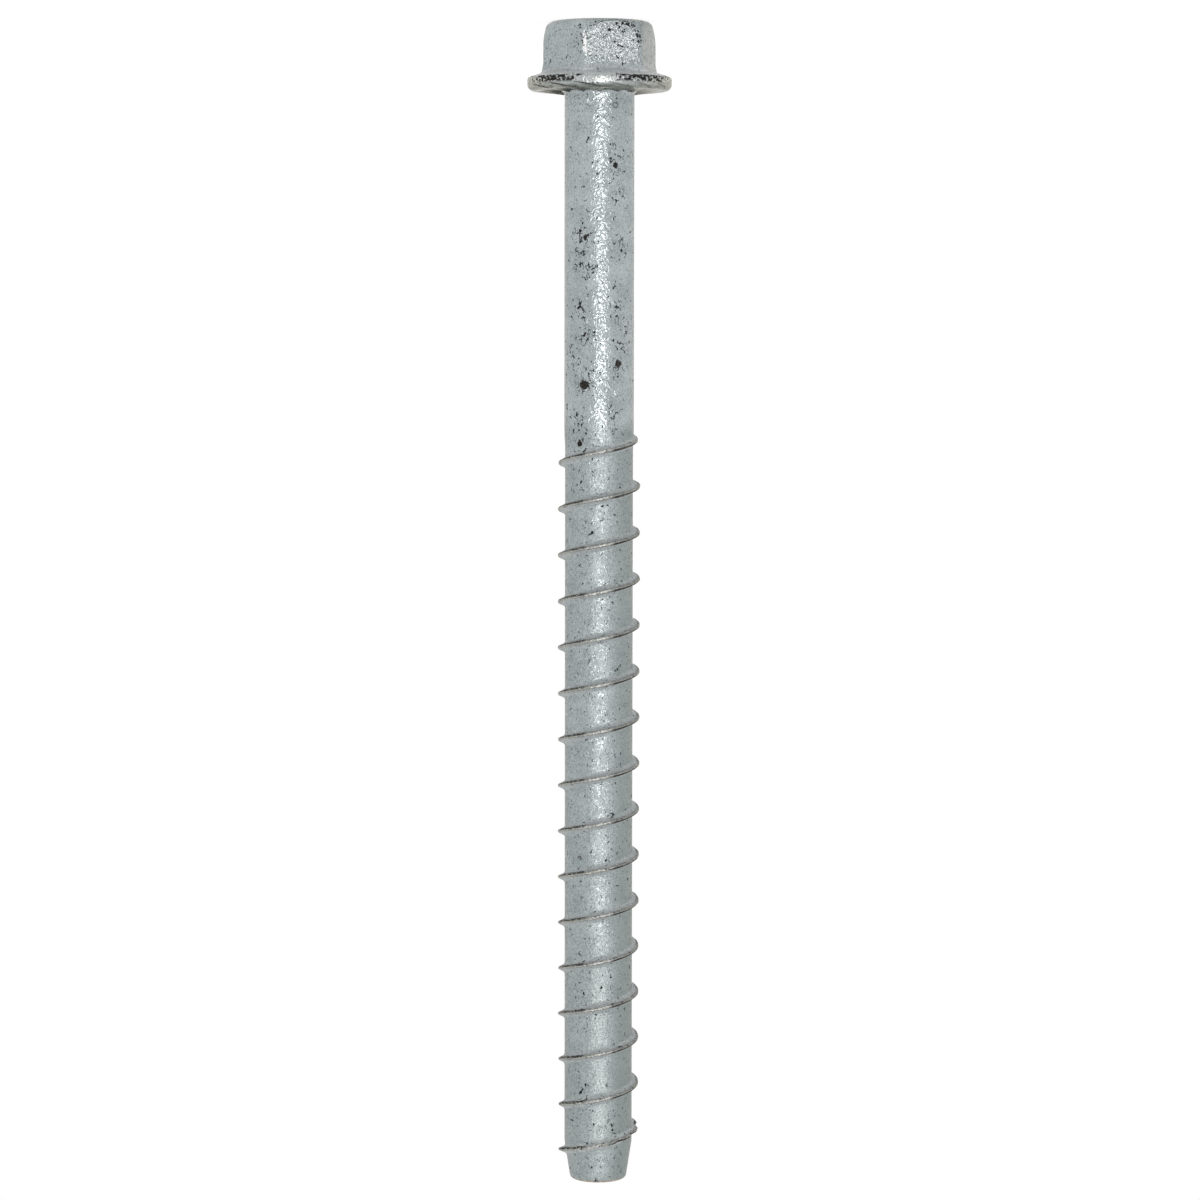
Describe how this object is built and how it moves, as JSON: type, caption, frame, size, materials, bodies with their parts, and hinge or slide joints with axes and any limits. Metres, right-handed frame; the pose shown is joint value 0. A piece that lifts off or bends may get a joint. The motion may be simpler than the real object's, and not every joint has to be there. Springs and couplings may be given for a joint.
{
  "type": "screw anchor",
  "caption": "Hexagon-head screw anchor for concrete, with a toothed round flange, a plain shank, a coarse right-hand thread with a notched leading turn, and a blunt tapered tip.",
  "frame": {"origin": "centre of the head's top face, on which the anchor stands", "axes": "+Z along the anchor's axis, from the head to the tip; -Y is the side that the picture shows"},
  "size_m": [0.0266, 0.0266, 0.2154],
  "materials": {
    "galvanised_steel": "mechanically galvanised, matte blue-grey zinc with small dark pits and worn thread crests"
  },
  "bodies": {
    "root": {"screw_anchor": "galvanised_steel"}
  },
  "joints": []
}
